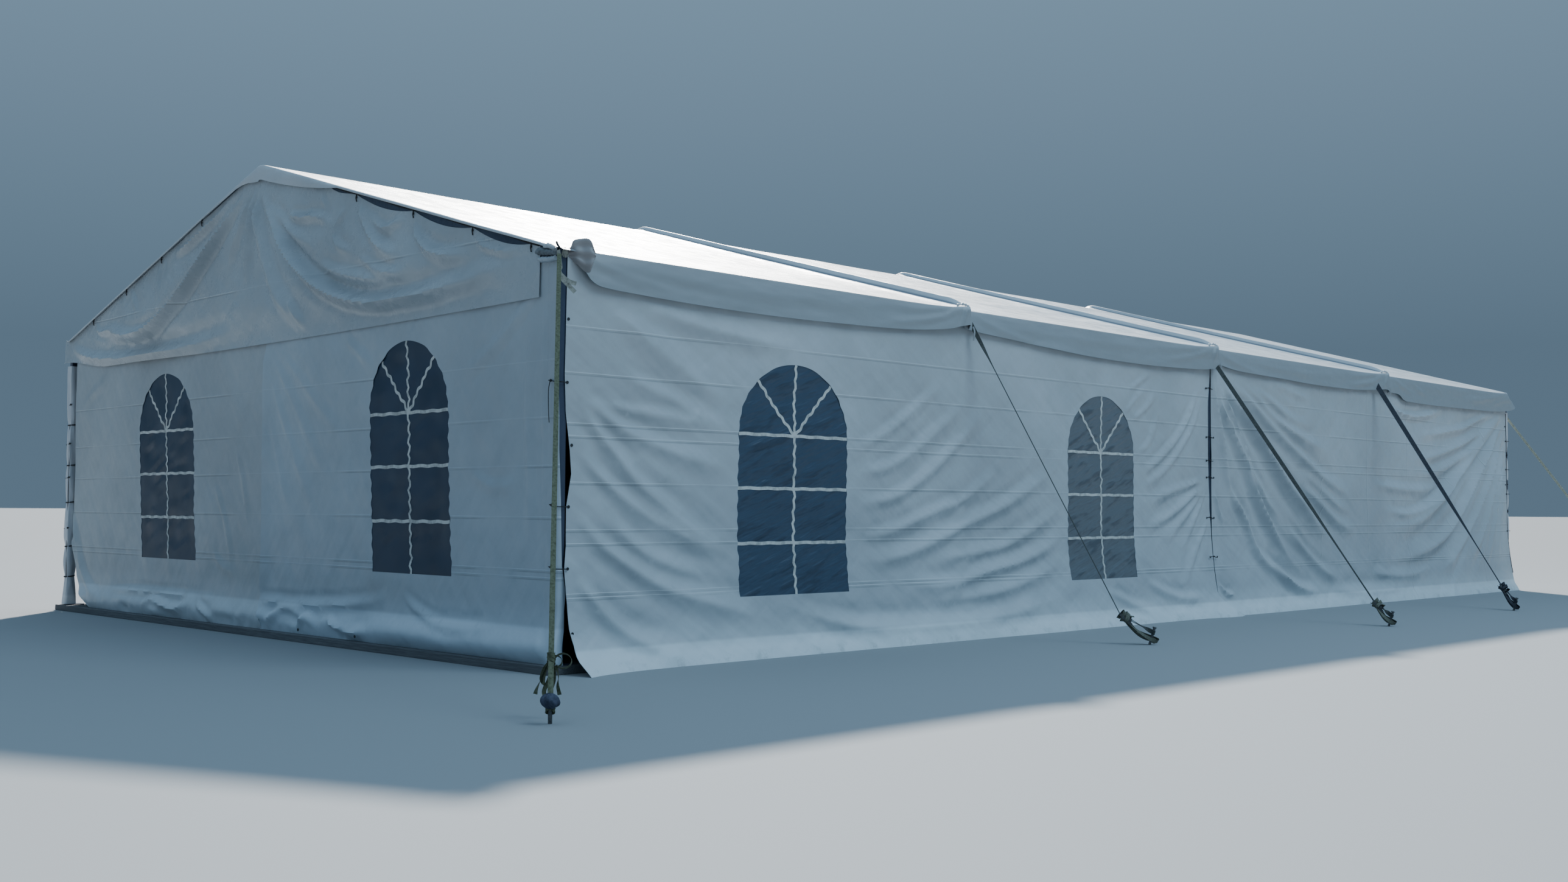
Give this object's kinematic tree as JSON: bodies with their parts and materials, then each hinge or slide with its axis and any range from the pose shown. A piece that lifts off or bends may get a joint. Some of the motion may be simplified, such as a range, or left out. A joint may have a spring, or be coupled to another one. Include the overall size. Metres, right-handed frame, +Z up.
{
  "type": "marquee tent",
  "caption": "Frame marquee with a pitched white roof, scalloped valance, sheet walls with arched film windows, low timber floor and taut guy straps with ratchets.",
  "frame": {"origin": "ground level at the centre of the plan", "axes": "+Z up, +Y along the hall from the front gable to the back one, +X to the right of a person who faces the front gable"},
  "size_m": [17.56, 27.6419, 5.73],
  "materials": {
    "deck_timber": "weathered grey, matt",
    "frame_steel": "galvanised and painted grey, satin",
    "roof_sheet": "coated white sheet, slight gloss",
    "gable_sheet": "coated white sheet, glossy creases",
    "wall_sheet": "coated white sheet, satin",
    "window_film": "smoky clear film",
    "strap_navy": "woven webbing, matt",
    "strap_yellow": "woven webbing, matt",
    "strap_pale": "woven webbing, matt"
  },
  "bodies": {
    "root": {"eave_beam_left": "frame_steel", "eave_beam_right": "frame_steel", "end_wall_back_left": "wall_sheet", "end_wall_back_right": "wall_sheet", "end_wall_front_left": "wall_sheet", "end_wall_front_right": "wall_sheet", "floor_deck": "deck_timber", "gable_sheet_back": "gable_sheet", "gable_sheet_front": "gable_sheet", "guy_strap_left_2": "strap_navy", "guy_strap_left_3": "strap_navy", "guy_strap_left_4": "strap_navy", "guy_strap_left_back": "strap_pale", "guy_strap_right_2": "strap_navy", "guy_strap_right_3": "strap_navy", "guy_strap_right_4": "strap_navy", "guy_strap_right_back": "strap_pale", "guy_strap_right_front": "strap_yellow", "portal_frame_1": "frame_steel", "portal_frame_2": "frame_steel", "portal_frame_3": "frame_steel", "portal_frame_4": "frame_steel", "portal_frame_5": "frame_steel", "ridge_beam": "frame_steel", "roof_cover_1": "roof_sheet", "roof_cover_2": "roof_sheet", "roof_cover_3": "roof_sheet", "roof_cover_4": "roof_sheet", "side_wall_left_back": "wall_sheet", "side_wall_left_front": "wall_sheet", "side_wall_right_back": "wall_sheet", "side_wall_right_front": "wall_sheet", "window_film_back_left": "window_film", "window_film_back_right": "window_film", "window_film_front_left": "window_film", "window_film_front_right": "window_film", "window_film_left_1": "window_film", "window_film_left_2": "window_film", "window_film_right_1": "window_film", "window_film_right_2": "window_film"}
  },
  "joints": []
}
